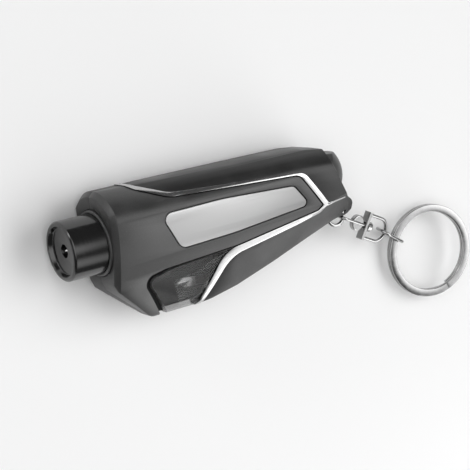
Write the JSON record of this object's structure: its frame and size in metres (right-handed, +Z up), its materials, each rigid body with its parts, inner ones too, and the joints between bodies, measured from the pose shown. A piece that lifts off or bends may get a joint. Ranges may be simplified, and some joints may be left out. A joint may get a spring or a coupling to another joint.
{
  "type": "keychain escape tool",
  "caption": "Keychain escape tool with a spring-loaded glass-breaking nose, a belt-cutting blade under a pull-off cap, and a swivel chain with a split key ring.",
  "frame": {"origin": "centre of the flat rear face, which the tool lies on, directly below the nose plunger's axis", "axes": "+X from the nose to the tail and key ring, along the plunger's axis; +Y across the tool, from the belly with the blade to the straight top edge; +Z up, out of the broad front face"},
  "size_m": [0.122, 0.0499, 0.0185],
  "materials": {
    "body_plastic": "satin moulded ABS, fine spark texture",
    "cap_plastic": "satin moulded ABS, fine spark texture",
    "nose_plastic": "polished black acetal",
    "chrome_trim": "bright plated plastic",
    "inlay_silver": "satin anodised plate",
    "guard_smoke": "smoked clear polycarbonate",
    "blade_steel": "ground and honed stainless blade",
    "tool_steel": "turned tool steel",
    "seal_black": "matt black soft seal",
    "carbide": "ground tungsten carbide",
    "spring_steel": "drawn spring wire",
    "screw_black": "black oxide",
    "chain_nickel": "polished nickel plate"
  },
  "bodies": {
    "body": {"front_shell": "body_plastic", "rear_shell": "body_plastic", "body_screws": "screw_black", "nose_bush": "body_plastic", "front_inlay": "inlay_silver", "rear_inlay": "inlay_silver", "guard_seal": "seal_black", "belt_blade": "blade_steel", "spring_plug": "body_plastic", "main_spring": "spring_steel"},
    "nose": {"nose_plunger": "nose_plastic", "return_spring": "spring_steel"},
    "pin": {"punch_pin": "tool_steel", "carbide_tip": "carbide"},
    "striker": {"striker": "tool_steel", "trip_sleeve": "tool_steel"},
    "cap": {"cap": "cap_plastic", "chrome_trim": "chrome_trim", "blade_guard": "guard_smoke", "lug_pin": "chain_nickel"},
    "jump_ring": {"jump_ring": "chain_nickel"},
    "swivel": {"swivel_eye": "chain_nickel", "swivel_barrel": "chain_nickel"},
    "yoke": {"swivel_yoke": "chain_nickel"},
    "link": {"connecting_link": "chain_nickel"},
    "key_ring": {"key_ring": "chain_nickel"}
  },
  "joints": [
    {"name": "nose_press", "type": "slide", "parent": "body", "child": "nose", "axis": [1, 0, 0], "range_m": [0, 0.008], "stiffness_N_per_m": 900, "springref_m": -0.003},
    {"name": "striker_travel", "type": "slide", "parent": "body", "child": "striker", "axis": [1, 0, 0], "range_m": [0, 0.008], "deforming": ["main_spring"]},
    {"name": "pin_strike", "type": "slide", "parent": "nose", "child": "pin", "axis": [-1, 0, 0], "range_m": [0, 0.0026], "stiffness_N_per_m": 60, "springref_m": -0.001, "deforming": ["return_spring"]},
    {"name": "cap_pull", "type": "slide", "parent": "body", "child": "cap", "axis": [1, 0, 0], "range_m": [0, 0.062]},
    {"name": "jump_ring_swing", "type": "hinge", "parent": "cap", "child": "jump_ring", "pos_m": [0.03279, -0.00742, 0.0086], "axis": [0, 0, 1], "range_deg": [-10, 10]},
    {"name": "swivel_swing", "type": "hinge", "parent": "jump_ring", "child": "swivel", "pos_m": [0.03404, -0.00958, 0.0086], "axis": [0.4472, 0.8944, 0], "range_deg": [-30, 30]},
    {"name": "yoke_spin", "type": "hinge", "parent": "swivel", "child": "yoke", "pos_m": [0.03404, -0.00958, 0.0086], "axis": [0.8771, -0.4309, -0.2121], "continuous": true},
    {"name": "link_swing", "type": "hinge", "parent": "yoke", "child": "link", "pos_m": [0.04955, -0.0172, 0.00485], "axis": [0.4627, 0.8765, 0.1329], "range_deg": [-35, 35]},
    {"name": "key_ring_swing", "type": "hinge", "parent": "link", "child": "key_ring", "pos_m": [0.05439, -0.01994, 0.00266], "axis": [-0.4867, -0.8703, -0.0753], "range_deg": [-40, 80]}
  ],
  "couplings": [
    {"joint": "striker_travel", "follows": "nose_press", "ratio": 1}
  ]
}
